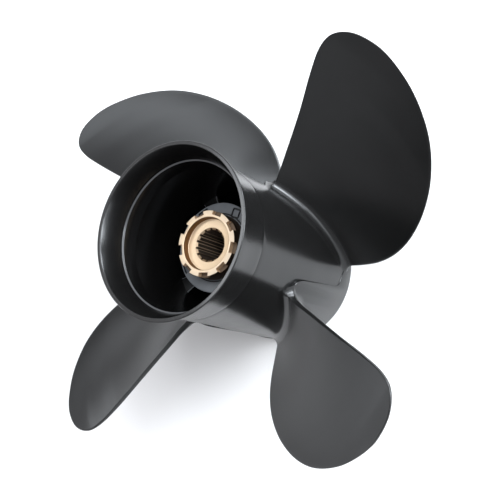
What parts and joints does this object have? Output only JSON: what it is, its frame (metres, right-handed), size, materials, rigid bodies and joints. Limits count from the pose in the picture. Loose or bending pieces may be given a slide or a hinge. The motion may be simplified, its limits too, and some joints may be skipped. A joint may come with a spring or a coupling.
{
  "type": "boat propeller with through-hub exhaust",
  "caption": "Boat propeller with broad raked blades, through-hub exhaust with a flared rear ring, and a splined brass sleeve in a grey bush.",
  "frame": {"origin": "on the shaft axis, at the hub's flat front end, which meets the gearcase", "axes": "+Z along the shaft axis towards the open exhaust end"},
  "size_m": [0.3294, 0.3294, 0.172],
  "materials": {
    "black_paint": "satin black paint over cast aluminium",
    "grey_bush": "grey moulded bush",
    "brass": "machined brass"
  },
  "bodies": {
    "root": {"hub_barrel": "black_paint", "flare_ring": "black_paint", "inner_hub": "black_paint", "rib_1": "black_paint", "rib_2": "black_paint", "rib_3": "black_paint", "rib_4": "black_paint", "blade_1": "black_paint", "blade_2": "black_paint", "blade_3": "black_paint", "blade_4": "black_paint", "bush": "grey_bush", "splined_sleeve": "brass"}
  },
  "joints": []
}
